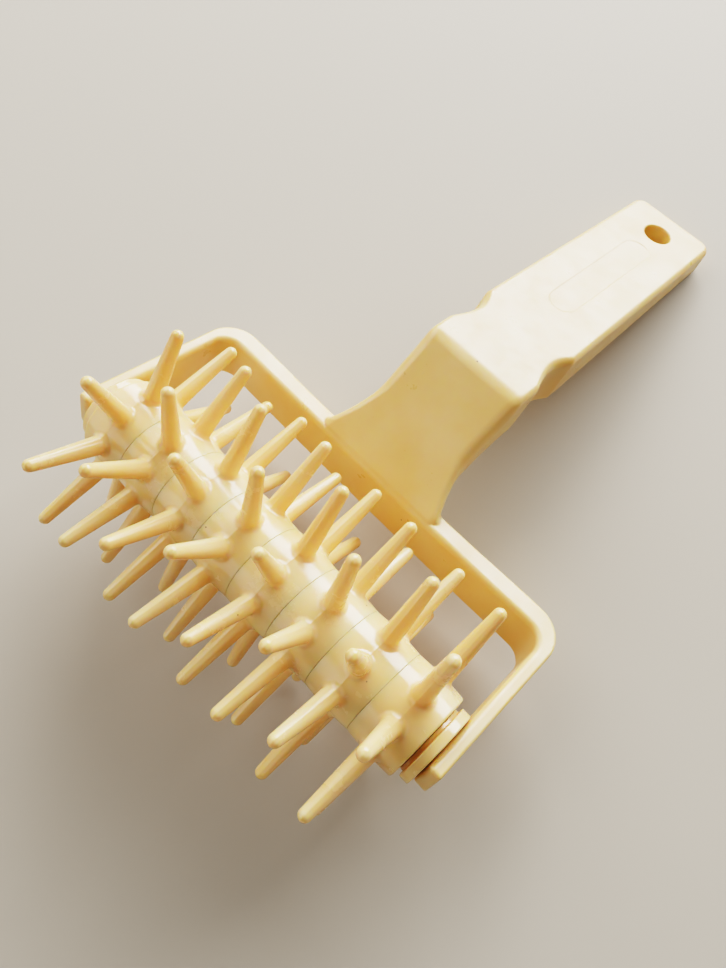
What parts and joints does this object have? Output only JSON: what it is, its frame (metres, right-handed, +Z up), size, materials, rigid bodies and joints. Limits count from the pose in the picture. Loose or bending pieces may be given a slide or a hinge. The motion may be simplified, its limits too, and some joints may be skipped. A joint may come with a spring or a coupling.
{
  "type": "dough docker",
  "caption": "Hand-held dough docker: keyed rings of staggered spikes turn freely on an axle in the yoke of a one-piece moulded plastic handle with a hanging hole.",
  "frame": {"origin": "middle of the bounding box on the surface that the docker lies on", "axes": "+X along the axle, +Y from the roller to the handle, +Z up as it lies on its spikes and the end of its handle"},
  "size_m": [0.1138, 0.189, 0.06],
  "materials": {
    "handle_plastic": "cream polypropylene, slightly translucent, low gloss with fine handling marks",
    "roller_plastic": "cream polypropylene, slightly translucent, glossy as moulded",
    "axle_plastic": "cream polypropylene, worn smooth on the journals"
  },
  "bodies": {
    "frame": {"handle_yoke": "handle_plastic"},
    "roller": {"axle": "axle_plastic", "end_disc_left": "roller_plastic", "end_disc_right": "roller_plastic", "ring_1": "roller_plastic", "ring_2": "roller_plastic", "ring_3": "roller_plastic", "ring_4": "roller_plastic", "ring_5": "roller_plastic", "ring_6": "roller_plastic", "ring_7": "roller_plastic", "ring_8": "roller_plastic"}
  },
  "joints": [
    {"name": "roller_spin", "type": "hinge", "parent": "frame", "child": "roller", "pos_m": [0, -0.06454, 0.02999], "axis": [1, 0, 0], "continuous": true}
  ]
}
